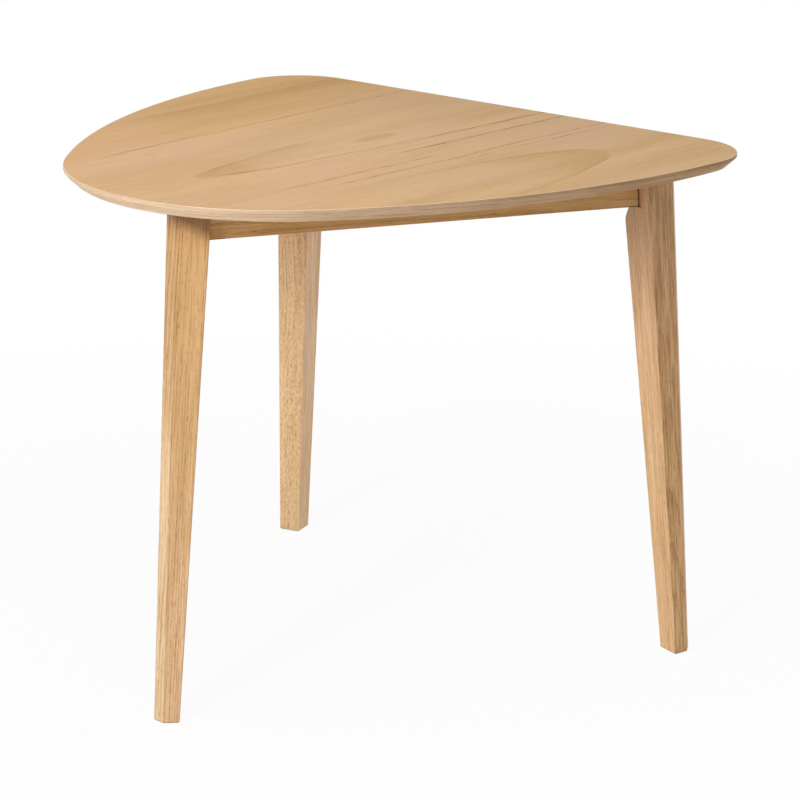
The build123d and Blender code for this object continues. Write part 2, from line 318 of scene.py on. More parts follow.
def growthRings(tree, at, look, pith):
    # distance from the pith line, which swings slowly along the board, cut into rings
    swing = calculate(tree, "SUBTRACT", makeNoise(tree, at["place"], look["swingNoise"]), 0.5)
    aside = calculate(tree, "SUBTRACT", at["x"], pith[0])
    aside = calculate(tree, "MULTIPLY_ADD", swing, look["pithSwing"], aside)
    depth = calculate(tree, "SUBTRACT", at["z"], pith[1])
    squares = calculate(tree, "MULTIPLY_ADD", aside, aside, multiply(tree, depth, depth))
    turns = calculate(tree, "DIVIDE", calculate(tree, "SQRT", squares), look["ringSpacing"])
    wobble = multiply(tree, makeNoise(tree, at["place"], look["ringNoise"]), look["ringSwing"])
    share = calculate(tree, "FRACT", calculate(tree, "ADD", turns, wobble))
    late = stretchRange(tree, share, *look["lateBegins"])
    late = multiply(tree, late, stretchRange(tree, share, *look["lateEnds"]))
    return multiply(tree, late, noiseRange(tree, at["place"], look["lateNoise"]))


def grainColour(tree, at, look, board, late, streak, fibre):
    # clouds, then the outer side's shade, the rings, and coarse, long, short and fine streaks
    cloud = noiseRange(tree, at["place"], look["cloudNoise"])
    colour = mixColours(tree, cloud, look["light"], look["middle"])
    if board["tone"]:
        colour = mixColours(tree, board["tone"], colour, look["dark"])
    if board["shade"]:
        outer = stretchRange(tree, at["facing"], *look["outerFacing"], 0.0, board["shade"])
        colour = mixColours(tree, outer, colour, look["shaded"])
    colour = tintColour(tree, multiply(tree, late, look["ringDepth"]), colour, look["dark"])
    if board["shade"]:
        outer = stretchRange(tree, at["facing"], *look["outerFacing"], *look["coarseDepths"])
        coarse = multiply(tree, noiseRange(tree, at["place"], look["coarseNoise"]), outer)
        colour = tintColour(tree, coarse, colour, look["coarse"])
    streak = stretchRange(tree, streak, *look["streakNoise"]["range"])
    colour = tintColour(tree, streak, colour, look["streak"])
    colour = tintColour(tree, noiseRange(tree, at["place"], look["dashNoise"]), colour, look["streak"])
    grey = greyOf(tree, stretchRange(tree, fibre, *look["fibreNoise"]["range"], kind="LINEAR"))
    return tintColour(tree, 1.0, colour, grey)


def addFlecks(tree, colour, at, look, board):
    # short rays, some brighter and some duller than the wood, on one side where the other is plain
    rays = makeNoise(tree, at["place"], look["rayNoise"])
    flecked = board["fleck"]
    if board["plainTints"]:
        flecked = stretchRange(tree, at["x"], -look["sideBlend"], look["sideBlend"], 0.0, flecked)
    for raysRange, tone in (("brightRays", "light"), ("dullRays", "dark")):
        strength = multiply(tree, stretchRange(tree, rays, *look[raysRange]), flecked)
        colour = mixColours(tree, strength, colour, look[tone])
    return colour


def tintAndPaintLightByHeight(tree, factor, colour, at, tints):
    head, foot = tints
    return tintColour(tree, factor, colour, mixColours(tree, at["headShare"], (*foot, 1), (*head, 1)))


def tintBoard(tree, colour, at, look, board):
    # tints by height, partly the wood's colour and partly painted light and shade, then the painted shadow
    # under the top
    colour = tintAndPaintLightByHeight(tree, 1.0, colour, at, board["tints"])
    if board["plainTints"]:
        plain = stretchRange(tree, at["x"], look["sideBlend"], -look["sideBlend"])
        colour = tintAndPaintLightByHeight(tree, plain, colour, at, board["plainTints"])
    if board["shadow"]:
        slanted = calculate(tree, "MULTIPLY_ADD", at["x"], look["shadowSlope"], at["height"])
        shadow = stretchRange(tree, slanted, *look["shadowHeights"], kind="LINEAR")
        colour = tintColour(tree, shadow, colour, (*board["shadow"], 1))
    return colour


def markFlatAndArrises(tree, colour, at, look, board):
    # the flat's tint, painted light and shade that darken its head and brighten its foot, and a dark arris
    # along each of its sides
    aside = calculate(tree, "SUBTRACT", calculate(tree, "ABSOLUTE", at["x"]), board["flatHalf"])
    outer = stretchRange(tree, at["z"], *look["flatDepth"])
    if board["flatLightTints"]:
        onFlat = multiply(tree, stretchRange(tree, aside, *look["flatBlend"]), outer)
        colour = tintAndPaintLightByHeight(tree, onFlat, colour, at, board["flatLightTints"])
    aside = calculate(tree, "ABSOLUTE", aside)
    arris = multiply(tree, stretchRange(tree, aside, *look["darkArris"]), outer)
    colour = mixColours(tree, arris, colour, look["pore"])
    # a painted highlight along the rounded arrises between the outer and inner sides
    worn = stretchRange(tree, calculate(tree, "ABSOLUTE", at["facing"]), *look["arrisHighlight"])
    colour = mixColours(tree, worn, colour, look["light"])
    # end grain on the foot's chamfer
    return mixColours(tree, stretchRange(tree, at["height"], *look["endGrain"]), colour, look["pore"])


def shadeJoints(tree, colour, at, look, ends):
    # shadow of the joint gap on an apron's ends, and under them on the ledges
    length = stretchRange(tree, at["height"], *ends["heights"], *ends["reaches"], "LINEAR")
    aside = calculate(tree, "ABSOLUTE", calculate(tree, "SUBTRACT", at["y"], ends["middle"]))
    gap = calculate(tree, "SUBTRACT", length, aside)
    drop = calculate(tree, "SUBTRACT", at["height"], ends["heights"][0])
    under = stretchRange(tree, drop, *look["underDrop"])
    under = multiply(tree, under, stretchRange(tree, gap, *look["underReach"]))
    dark = calculate(tree, "MAXIMUM", stretchRange(tree, gap, *look["gapReach"]), under)
    return mixColours(tree, multiply(tree, dark, look["gapShade"]), colour, look["gap"])


def oakMaterial(name, look, origin, turn, board, ends=None):
    material = newMaterial(name)
    tree = material.node_tree
    at = boardPlace(tree, origin, turn, look)
    late = growthRings(tree, at, look, board["pith"])
    streak = makeNoise(tree, at["place"], look["streakNoise"])
    fibre = makeNoise(tree, at["place"], look["fibreNoise"])
    colour = grainColour(tree, at, look, board, late, streak, fibre)
    if board["fleck"]:
        colour = addFlecks(tree, colour, at, look, board)
    colour, pore = addPores(tree, colour, at["place"], look, late)
    colour = tintBoard(tree, colour, at, look, board)
    if board["flatHalf"]:
        colour = markFlatAndArrises(tree, colour, at, look, board)
    if ends:
        colour = shadeJoints(tree, colour, at, look, ends)
    height = calculate(tree, "SUBTRACT", multiply(tree, fibre, look["fibreHeight"]), pore)
    roughness = stretchRange(tree, streak, *look["roughness"])
    return finishMaterial(material, colour, roughness, height, look["poreDepth"], look["shine"])


# Leg ring, from the glides under the feet
feet = {}
for name in legBoards:
    low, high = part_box(name + "_glide")
    feet[name] = Vector(((low.x + high.x) / 2, (low.y + high.y) / 2, 0))
ringCentre = sum(feet.values(), Vector()) / len(feet)


def axesTurn(across, along, through):
    return Matrix((across, along, through)).transposed()


def legMaterials(sizes, look):
    lean = math.radians(sizes["lean"])
    for number, (name, foot) in enumerate(feet.items()):
        outwards = (foot - ringCentre).normalized()
        along = Vector((0, 0, math.cos(lean))) - outwards * math.sin(lean)
        across = along.cross(outwards).normalized()
        turn = axesTurn(across, along, across.cross(along))
        origin = foot - along * sizes["stagger"] * (number + 1)
        yield name + "_leg", oakMaterial(name + "LegOak", look, origin, turn, legBoards[name])


def apronMaterials(sizes, look):
    upwards = Vector((0, 0, 1))
    for number, name in enumerate(apronBoards):
        low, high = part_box(name + "_apron")
        middle = (low + high) / 2
        outwards = Vector((middle.x - ringCentre.x, middle.y - ringCentre.y, 0)).normalized()
        along = upwards.cross(outwards)
        turn = axesTurn(upwards, along, upwards.cross(along))
        stagger = sizes["stagger"] * (number + 1)
        # how far the apron reaches from its middle, at its lower edge and at its upper one
        places = [vert.co for vert in nodes[name + "_apron"].data.vertices]
        reaches = [max(along.dot(place - middle) for place in places
                       if abs(place.z - level) < sizes["levelSlack"]) for level in (low.z, high.z)]
        ends = {"middle": stagger, "heights": (low.z, high.z), "reaches": reaches}
        origin = middle - along * stagger
        material = oakMaterial(name + "ApronOak", look, origin, turn, apronBoards[name], ends)
        yield name + "_apron", material


def dress(nodeName, material):
    slots = nodes[nodeName].data.materials
    slots.clear()
    slots.append(material)


for nodeName, material in [*legMaterials(legSizes, oakLook), *apronMaterials(apronSizes, oakLook)]:
    dress(nodeName, material)
print("legs and aprons dressed")


# Veneer of the top. The grain runs along y, and the figure is made of contours round two pith lines
# that dip under the top. A pith has its x, its depth at the middle and how steeply it dips.
veneerLook = {
    "light": photoColour(221, 181, 131),
    "middle": photoColour(209, 168, 117),
    "dark": photoColour(196, 157, 99),
    "line": photoColour(148, 99, 55),
    "pore": photoColour(150, 106, 64),
    "rosy": photoColour(217, 176, 137),
    "edgePale": photoColour(228, 194, 158),
    "edgeDark": photoColour(198, 158, 116),
    # arris is the colour of a painted highlight along the top arris
    "arris": photoColour(244, 222, 196),
    "centrePith": (-0.008, 0.05, -0.0775),
    "archPith": (0.283, 0.057, 0.18),
    "archRim": (0.1, 0.101),
    "driftNoise": {"waves": (5, 4, 4), "detail": 2.0, "swing": 0.022},
    "quiverNoise": {"waves": (90, 10, 20), "detail": 3.0, "roughness": 0.6, "swing": 0.0045},
    "brokenNoise": {"waves": (420, 42, 10), "detail": 2.0, "roughness": 0.7,
                    "range": (0.38, 0.6, 0.3, 1.0)},
    "faintNoise": {"waves": (60, 1.6, 20), "detail": 3.0, "roughness": 0.6,
                   "range": (0.52, 0.74, 0.0, 0.18)},
    "cloudNoise": {"waves": (14, 1.3, 8), "detail": 4.0, "range": (0.32, 0.68)},
    "blushNoise": {"waves": (5, 2.2, 4), "detail": 2.0, "range": (0.4, 0.66, 0.0, 0.7)},
    "bandDepth": (0.0, 1.0, 0.0, 0.85),
    "lineDepth": (0.0, 0.9, 0.0, 0.8),
    "fibreNoise": {"waves": (1300, 16, 300), "detail": 3.0, "roughness": 0.6,
                   "range": (0.3, 0.72, 1.05, 0.93)},
    "grainNoise": {"waves": (330, 4.5, 60), "detail": 3.0, "roughness": 0.65,
                   "range": (0.34, 0.66, 1.035, 0.955)},
    "poreNoise": {"waves": (620, 38, 200), "detail": 1.0},
    "poreLimit": (0.0, 0.8, 0.68, 0.56),
    "poreRim": 0.1,
    "poreStrength": 0.55,
    "poreDepth": 0.00012,
    "fibreHeight": 0.2,
    "goldFade": (-0.1, -0.28),
    "goldTint": (1.03, 0.975, 0.81, 1),
    # a painted pool of light in the middle of the top, then painted shade towards its back
    "paintedLightTint": (1.09, 1.10, 1.15, 1),
    "backShadeFade": (0.16, 0.4),
    "backShadeTint": (0.94, 0.94, 0.94, 1),
    "edgeNoise": {"waves": (9, 9, 420), "detail": 4.0, "roughness": 0.65, "range": (0.3, 0.7)},
    "edgePores": {"waves": (60, 60, 1500), "detail": 1.0, "range": (0.6, 0.7, 0.0, 0.4)},
    # painted reflection makes the edge paler and pinker at the left, and painted shade darkens it towards
    # the right end
    "edgeShadeFade": (0.05, 0.6),
    "edgeReflectionAndShadeTints": ((1.0, 1.1, 1.28, 1), (0.46, 0.38, 0.24, 1)),
    # painted light on the faces that look down
    "underPaintedLight": (-0.1, -0.6, 1.0, 1.22),
    "flatFacing": (0.86, 0.93),
    "arrisHighlightFacing": ((0.97, 0.9), (0.35, 0.6)),
    "arrisHighlightHeights": (0.747, 0.749, 0.0, 0.6),
    "roughness": (0.3, 0.7, 0.5, 0.62),
    "shine": 0.16,
}
# Contours: at is the distance from the pith and width the band that darkens up to it, by its fill. The
# line on it darkens by its crest. It shows from one x to another of its sides, unless these are the
# same, and fades in and out along y as shows says.
centreLines = {
    "cathedralFill": {"at": 0.070, "width": 0.036, "fill": 0.8, "crest": 0.22,
                      "sides": (-1, -1), "shows": (-0.30, -0.29, -0.22, -0.13)},
    "leftArm": {"at": 0.070, "width": 0.018, "fill": 0.6, "crest": 0.3,
                "sides": (0, -0.01), "shows": (-0.25, -0.18, -0.04, 0.05)},
    "rightArm": {"at": 0.070, "width": 0.007, "fill": 0.3, "crest": 0.5,
                 "sides": (0, 0.01), "shows": (-0.25, -0.18, 0.5, 0.6)},
    "rightArmFar": {"at": 0.071, "width": 0.004, "fill": 0.1, "crest": 0.7,
                    "sides": (0, 0.01), "shows": (0.08, 0.2, 0.5, 0.6)},
    "rightSecond": {"at": 0.109, "width": 0.008, "fill": 0.3, "crest": 1.2,
                    "sides": (0, 0.01), "shows": (0.0, 0.08, 0.5, 0.6)},
    "rightThird": {"at": 0.152, "width": 0.008, "fill": 0.25, "crest": 0.65,
                   "sides": (0, 0.01), "shows": (-0.32, -0.2, 0.02, 0.12)},
    "rightFourth": {"at": 0.181, "width": 0.009, "fill": 0.3, "crest": 0.7,
                    "sides": (0, 0.01), "shows": (-0.25, -0.12, 0.5, 0.6)},
    "rightFifth": {"at": 0.198, "width": 0.007, "fill": 0.25, "crest": 0.6,
                   "sides": (0, 0.01), "shows": (0.02, 0.12, 0.34, 0.4)},
    "leftThird": {"at": 0.199, "width": 0.010, "fill": 0.3, "crest": 0.7,
                  "sides": (0, -0.01), "shows": (-0.34, -0.2, 0.36, 0.42)},
    "leftFourth": {"at": 0.242, "width": 0.010, "fill": 0.2, "crest": 0.2,
                   "sides": (0, -0.01), "shows": (-0.2, -0.05, 0.3, 0.38)},
    "leftBand": {"at": 0.350, "width": 0.100, "fill": 1.0, "crest": 0.0,
                 "sides": (0, -0.01), "shows": (-0.14, 0.06, 0.5, 0.6)},
    "frontTail": {"at": 0.062, "width": 0.008, "fill": 0.2, "crest": 0.5,
                  "sides": (0, -0.01), "shows": (-0.42, -0.38, -0.3, -0.26)},
}
archLines = {
    "outer": {"at": 0.100, "width": 0.050, "fill": 0.7, "crest": 0.0,
              "sides": (-1, -1), "shows": (0.02, 0.15, 0.5, 0.6)},
    "arms": {"at": 0.100, "width": 0.014, "fill": 0.3, "crest": 0.3,
             "sides": (-1, -1), "shows": (-0.25, -0.05, 0.2, 0.24)},
}
lineSizes = {"crestWidth": 0.0048, "peak": 0.0006, "fade": 0.0008}
heartSpot = {"place": (-0.004, 0.092), "reach": (0.016, 0.05), "range": (1.1, 0.3, 0.0, 0.8)}
# where the painted pool of light lies on the top
paintedLightSpot = {"place": (-0.04, -0.16), "reach": (0.27, 0.36), "range": (1.6, 0.1)}


def pithDistance(tree, x, y, pith):
    aside = calculate(tree, "SUBTRACT", x, pith[0])
    depth = calculate(tree, "ADD", multiply(tree, y, pith[2]), pith[1])
    squares = calculate(tree, "MULTIPLY_ADD", aside, aside, multiply(tree, depth, depth))
    return calculate(tree, "SQRT", squares)


def inSpot(tree, x, y, spot):
    # squares are 0 at the middle of an oval, and 1 on its rim
    squares = 0.0
    for value, middle, reach in zip((x, y), spot["place"], spot["reach"]):
        offset = calculate(tree, "DIVIDE", calculate(tree, "SUBTRACT", value, middle), reach)
        squares = calculate(tree, "MULTIPLY_ADD", offset, offset, squares)
    return stretchRange(tree, squares, *spot["range"])


def showsAlong(tree, y, ends):
    begins = stretchRange(tree, y, ends[0], ends[1])
    return multiply(tree, begins, stretchRange(tree, y, ends[3], ends[2]))


def ringLines(tree, distance, x, y, lines, sizes):
    # each ring darkens slowly up to its line, its fill, and has a fine dark crest on the line
    fills, crests = 0.0, 0.0
    for line in lines.values():
        at = line["at"]
        peak = at - sizes["peak"]
        fill = stretchRange(tree, distance, at - line["width"], peak, 0.0, line["fill"])
        crest = stretchRange(tree, distance, at - sizes["crestWidth"], peak, 0.0, line["crest"])
        shows = stretchRange(tree, distance, at + sizes["fade"], at)
        shows = multiply(tree, shows, showsAlong(tree, y, line["shows"]))
        if line["sides"][0] != line["sides"][1]:
            shows = multiply(tree, shows, stretchRange(tree, x, *line["sides"]))
        fills = calculate(tree, "MULTIPLY_ADD", fill, shows, fills)
        crests = calculate(tree, "MULTIPLY_ADD", crest, shows, crests)
    return fills, crests


def topFigure(tree, x, y, look):
    # the centre's contours end where the arch begins
    centreDistance = pithDistance(tree, x, y, look["centrePith"])
    archDistance = pithDistance(tree, x, y, look["archPith"])
    fills, crests = ringLines(tree, centreDistance, x, y, centreLines, lineSizes)
    archFills, archCrests = ringLines(tree, archDistance, x, y, archLines, lineSizes)
    outside = stretchRange(tree, archDistance, *look["archRim"])
    fills = calculate(tree, "MULTIPLY_ADD", fills, outside, archFills)
    crests = calculate(tree, "MULTIPLY_ADD", crests, outside, archCrests)
    return calculate(tree, "ADD", fills, inSpot(tree, x, y, heartSpot)), crests


def tintAndPaintLightOnTop(tree, colour, x, y, look):
    # golden towards the left side, with a painted pool of light in the middle and painted shade at the
    # back
    tints = (
        (stretchRange(tree, x, *look["goldFade"]), look["goldTint"]),
        (inSpot(tree, x, y, paintedLightSpot), look["paintedLightTint"]),
        (stretchRange(tree, y, *look["backShadeFade"]), look["backShadeTint"]),
    )
    for factor, tint in tints:
        colour = tintColour(tree, factor, colour, tint)
    return colour


def lippingColour(tree, place, x, upwards, look):
    # streaks follow the edge, so they change slowly along it and quickly with height
    streaks = noiseRange(tree, place, look["edgeNoise"])
    colour = mixColours(tree, streaks, look["edgePale"], look["edgeDark"])
    colour = mixColours(tree, noiseRange(tree, place, look["edgePores"]), colour, look["pore"])
    # painted reflection at the left end of the edge, and painted shade towards the right end
    tint = mixColours(tree, stretchRange(tree, x, *look["edgeShadeFade"]), *look["edgeReflectionAndShadeTints"])
    colour = tintColour(tree, 1.0, colour, tint)
    # painted light brightens the faces that look down
    return tintColour(tree, 1.0, colour, greyOf(tree, stretchRange(tree, upwards, *look["underPaintedLight"])))


def veneerMaterial(name, look):
    material = newMaterial(name)
    tree = material.node_tree
    place = objectPlace(tree)
    trueX, y, z = splitPlace(tree, place)[:3]
    drift = noiseSwing(tree, place, look["driftNoise"])
    quiver = noiseSwing(tree, place, look["quiverNoise"])
    x = calculate(tree, "ADD", trueX, calculate(tree, "ADD", drift, quiver))
    bands, lines = topFigure(tree, x, y, look)
    # the lines break up into rows of pores, the bands stay whole
    lines = multiply(tree, lines, noiseRange(tree, place, look["brokenNoise"]))
    lines = calculate(tree, "MAXIMUM", lines, noiseRange(tree, place, look["faintNoise"]))
    colour = mixColours(tree, noiseRange(tree, place, look["cloudNoise"]), look["light"], look["middle"])
    colour = mixColours(tree, noiseRange(tree, place, look["blushNoise"]), colour, look["rosy"])
    bands = stretchRange(tree, bands, *look["bandDepth"], "LINEAR")
    colour = mixColours(tree, bands, colour, look["dark"])
    colour = mixColours(tree, stretchRange(tree, lines, *look["lineDepth"]), colour, look["line"])
    fibre = makeNoise(tree, place, look["fibreNoise"])
    streak = stretchRange(tree, fibre, *look["fibreNoise"]["range"], "LINEAR")
    streak = multiply(tree, streak, noiseRange(tree, place, look["grainNoise"], "LINEAR"))
    colour = tintColour(tree, 1.0, colour, greyOf(tree, streak))
    colour, pore = addPores(tree, colour, place, look, lines)
    colour = tintAndPaintLightOnTop(tree, colour, trueX, y, look)
    upwards = splitPlace(tree, surfaceNormal(tree))[2]
    flat = calculate(tree, "ABSOLUTE", upwards)
    lipping = lippingColour(tree, place, trueX, upwards, look)
    colour = mixColours(tree, stretchRange(tree, flat, *look["flatFacing"]), lipping, colour)
    # a painted highlight along the top arris
    above, below = [stretchRange(tree, flat, *limits) for limits in look["arrisHighlightFacing"]]
    high = stretchRange(tree, z, *look["arrisHighlightHeights"])
    arris = multiply(tree, multiply(tree, above, below), high)
    colour = mixColours(tree, arris, colour, look["arris"])
    height = calculate(tree, "SUBTRACT", multiply(tree, fibre, look["fibreHeight"]), pore)
    roughness = stretchRange(tree, fibre, *look["roughness"])
    return finishMaterial(material, colour, roughness, height, look["poreDepth"], look["shine"])


dress("table_top", veneerMaterial("topVeneer", veneerLook))
print("top dressed")


# Zinc-plated steel for the corner plates, brackets and fasteners
zincLook = {
    "bright": photoColour(205, 208, 212),
    "dull": photoColour(170, 174, 180),
    "stain": photoColour(140, 140, 138),
    "patchWaves": 140,
    "patchNoise": {"detail": 4.0, "roughness": 0.6, "range": (0.35, 0.65)},
    "stainNoise": {"waves": (45, 45, 45), "detail": 5.0, "roughness": 0.7, "range": (0.6, 0.75, 0.0, 0.5)},
    "rolledNoise": {"waves": (60, 60, 2600), "detail": 2.0},
    "rolledDepth": 0.00002,
    "roughness": (0.3, 0.7, 0.26, 0.42),
}


def zincMaterial(name, look, grain):
    # a finer grain suits smaller pieces
    material = newMaterial(name)
    tree = material.node_tree
    place = objectPlace(tree)
    patches = {**look["patchNoise"], "waves": (look["patchWaves"] * grain,) * 3}
    patch = makeNoise(tree, place, patches)
    colour = mixColours(tree, stretchRange(tree, patch, *patches["range"]), look["bright"], look["dull"])
    colour = mixColours(tree, noiseRange(tree, place, look["stainNoise"]), colour, look["stain"])
    rolled = makeNoise(tree, place, look["rolledNoise"])
    roughness = stretchRange(tree, patch, *look["roughness"])
    return finishMaterial(material, colour, roughness, rolled, look["rolledDepth"], metallic=1.0)


# Brown plastic for the glides
plasticLook = {
    "base": photoColour(70, 58, 50),
    "worn": photoColour(96, 82, 72),
    "wornNoise": {"waves": (300, 300, 300), "detail": 4.0, "range": (0.4, 0.7)},
    "speckleNoise": {"waves": (2500, 2500, 2500), "detail": 3.0},
    "speckleDepth": 0.00003,
    "roughness": (0.0, 1.0, 0.45, 0.6),
}


def plasticMaterial(name, look):
    material = newMaterial(name)
    tree = material.node_tree
    place = objectPlace(tree)
    worn = noiseRange(tree, place, look["wornNoise"])
    colour = mixColours(tree, worn, look["base"], look["worn"])
    speckle = makeNoise(tree, place, look["speckleNoise"])
    roughness = stretchRange(tree, worn, *look["roughness"])
    return finishMaterial(material, colour, roughness, speckle, look["speckleDepth"])


zincSheet = zincMaterial("zincSheet", zincLook, 1.0)
zincScrew = zincMaterial("zincScrew", zincLook, 2.5)
glidePlastic = plasticMaterial("glidePlastic", plasticLook)
for nodeName in nodes:
    if nodeName.endswith(("corner_plate", "top_brackets")):
        dress(nodeName, zincSheet)
    elif nodeName.endswith(("washers", "nuts")):
        dress(nodeName, zincScrew)
print("metal and plastic dressed")


# Screws and bolts. Sizes in metres; the head stands on the seat, and the shank goes down from it.
screwSizes = {
    "Length": 0.0148, "Radius": 0.00198, "Tip Length": 0.0034, "Tip Radius": 0.0001, "Run In": 0.0001,
    "Plain Length": 0.002, "Pitch": 0.0017, "Thread Depth": 0.00062, "Rows": 64, "Sides": 20,
    "Head Radius": 0.004, "Head Height": 0.0024, "Recess Depth": 0.0015, "Recess Reach": 0.0022,
}
boltSizes = {
    "Length": 0.0899, "Radius": 0.00398, "Tip Length": 0.007, "Tip Radius": 0.0014, "Run In": 0.0008,
    "Plain Length": 0.0, "Pitch": 0.00125, "Thread Depth": 0.00068, "Rows": 440, "Sides": 20,
    "Head Radius": 0.0, "Head Height": 0.0, "Recess Depth": 0.0, "Recess Reach": 0.0,
}
# the crown takes its share of the sheet from the top down, and the flat underside the rest
headShape = {"sides": 40, "rows": 16, "crownShare": 0.85, "crownLimit": 0.999, "roundness": 0.75,
             "flatness": 0.55, "recessArm": (0.0003, 0.0008, 1.0, 0.0)}
closedShare = 0.0001
mergeDistance = 0.000002
weldDistance = 0.000001


def ringPlace(tree, turn, radius, height):
    angle = multiply(tree, turn, math.tau)
    x = multiply(tree, radius, calculate(tree, "COSINE", angle))
    y = multiply(tree, radius, calculate(tree, "SINE", angle))
    return addNode(tree, "ShaderNodeCombineXYZ", {0: x, 1: y, 2: height}).outputs[0]


def unitGrid(tree, sides, rows):
    # a square sheet whose x becomes the turn round the axis and whose y runs from the top to the tip
    columns = calculate(tree, "ADD", sides, 1.0)
    sockets = {"Size X": 1.0, "Size Y": 1.0, "Vertices X": columns, "Vertices Y": rows}
    sheet = addNode(tree, "GeometryNodeMeshGrid", sockets).outputs["Mesh"]
    x, y = splitPlace(tree, addNode(tree, "GeometryNodeInputPosition").outputs[0])[:2]
    return sheet, calculate(tree, "ADD", x, 0.5), calculate(tree, "SUBTRACT", 0.5, y)


def wrapSheet(tree, sheet, place):
    shape = addNode(tree, "GeometryNodeSetPosition", {"Geometry": sheet, "Position": place}).outputs[0]
    sockets = {"Geometry": shape, "Distance": mergeDistance}
    return addNode(tree, "GeometryNodeMergeByDistance", sockets).outputs[0]


def threadedShank(tree, sizes):
    sheet, turn, down = unitGrid(tree, sizes["Sides"], sizes["Rows"])
    depth = multiply(tree, down, sizes["Length"])
    tipStart = calculate(tree, "SUBTRACT", sizes["Length"], sizes["Tip Length"])
    ends = (sizes["Radius"], sizes["Tip Radius"])
    radius = stretchRange(tree, depth, tipStart, sizes["Length"], *ends, "LINEAR")
    runIn = calculate(tree, "SUBTRACT", sizes["Run In"], depth)
    radius = calculate(tree, "SUBTRACT", radius, calculate(tree, "MAXIMUM", runIn, 0.0))
    # a vee groove that winds once round for each pitch, below the plain length
    phase = calculate(tree, "ADD", calculate(tree, "DIVIDE", depth, sizes["Pitch"]), turn)
    groove = calculate(tree, "PINGPONG", multiply(tree, phase, 2.0), 1.0)
    begins = calculate(tree, "GREATER_THAN", depth, sizes["Plain Length"])
    cut = multiply(tree, multiply(tree, groove, begins), sizes["Thread Depth"])
    radius = calculate(tree, "MAXIMUM", calculate(tree, "SUBTRACT", radius, cut), sizes["Tip Radius"])
    # the first and last rows close on the axis
    belowTop = calculate(tree, "GREATER_THAN", down, closedShare)
    aboveTip = calculate(tree, "LESS_THAN", down, 1.0 - closedShare)
    radius = multiply(tree, radius, multiply(tree, belowTop, aboveTip))
    return wrapSheet(tree, sheet, ringPlace(tree, turn, radius, multiply(tree, depth, -1.0)))


def panHead(tree, sizes, shape):
    sheet, turn, down = unitGrid(tree, shape["sides"], shape["rows"])
    crown = calculate(tree, "MINIMUM", calculate(tree, "DIVIDE", down, shape["crownShare"]), 1.0)
    angle = multiply(tree, crown, math.pi / 2)
    under = stretchRange(tree, down, shape["crownShare"], 1.0, 1.0, 0.0, "LINEAR")
    reach = calculate(tree, "POWER", calculate(tree, "SINE", angle), shape["roundness"])
    radius = multiply(tree, multiply(tree, reach, under), sizes["Head Radius"])
    rise = calculate(tree, "MAXIMUM", calculate(tree, "COSINE", angle), 0.0)
    rise = calculate(tree, "POWER", rise, shape["flatness"])
    height = multiply(tree, rise, sizes["Head Height"])
    # cross recess: deep along two arms and fading towards their ends
    x, y = splitPlace(tree, ringPlace(tree, turn, radius, 0.0))[:2]
    x, y = calculate(tree, "ABSOLUTE", x), calculate(tree, "ABSOLUTE", y)
    arm = stretchRange(tree, calculate(tree, "MINIMUM", x, y), *shape["recessArm"])
    far = calculate(tree, "MAXIMUM", x, y)
    arm = multiply(tree, arm, stretchRange(tree, far, 0.0, sizes["Recess Reach"], 1.0, 0.0))
    onCrown = calculate(tree, "GREATER_THAN", under, shape["crownLimit"])
    recess = multiply(tree, multiply(tree, arm, sizes["Recess Depth"]), onCrown)
    height = calculate(tree, "SUBTRACT", height, recess)
    return wrapSheet(tree, sheet, ringPlace(tree, turn, radius, height))


def makeFastenerTree(withHead):
    tree = bpy.data.node_groups.new("screwTree" if withHead else "boltTree", "GeometryNodeTree")
    tree.interface.new_socket("Geometry", in_out="INPUT", socket_type="NodeSocketGeometry")
    tree.interface.new_socket("Geometry", in_out="OUTPUT", socket_type="NodeSocketGeometry")
    for name, value in screwSizes.items():
        kind = "NodeSocketInt" if isinstance(value, int) else "NodeSocketFloat"
        tree.interface.new_socket(name, in_out="INPUT", socket_type=kind)
    tree.interface.new_socket("Material", in_out="INPUT", socket_type="NodeSocketMaterial")
    given = tree.nodes.new("NodeGroupInput").outputs
    sockets = {"Geometry": threadedShank(tree, given), "Shade Smooth": True}
    shape = addNode(tree, "GeometryNodeSetShadeSmooth", sockets).outputs[0]
    if withHead:
        joined = addNode(tree, "GeometryNodeJoinGeometry")
        tree.links.new(shape, joined.inputs[0])
        tree.links.new(panHead(tree, given, headShape), joined.inputs[0])
        shape = joined.outputs[0]
    facing = addNode(tree, "GeometryNodeInputNamedAttribute", {"Name": "facing"}, data_type="FLOAT_VECTOR")
    turn = addNode(tree, "FunctionNodeAlignRotationToVector", {"Vector": facing.outputs[0]}, axis="Z")
    sockets = {"Points": given["Geometry"], "Instance": shape, "Rotation": turn.outputs[0]}
    placed = addNode(tree, "GeometryNodeInstanceOnPoints", sockets).outputs[0]
    real = addNode(tree, "GeometryNodeRealizeInstances", {"Geometry": placed}).outputs[0]
    final = addNode(tree, "GeometryNodeSetMaterial", {"Geometry": real, "Material": given["Material"]})
    addNode(tree, "NodeGroupOutput", {"Geometry": final.outputs[0]})
    return tree


def looseParts(nodeName):
    # vertex places of each separate solid in a node, in the order of the node's vertices
    copy = bmesh.new()
    copy.from_mesh(nodes[nodeName].data)
    bmesh.ops.remove_doubles(copy, verts=copy.verts, dist=weldDistance)
    waiting = set(copy.verts)
    for first in copy.verts:
        if first not in waiting:
            continue
        waiting.remove(first)
        part, border = [], [first]
        while border:
            vert = border.pop()
            part.append(vert.co.copy())
            for edge in vert.link_edges:
                other = edge.other_vert(vert)
                if other in waiting:
                    waiting.remove(other)
                    border.append(other)
        yield part
    copy.free()


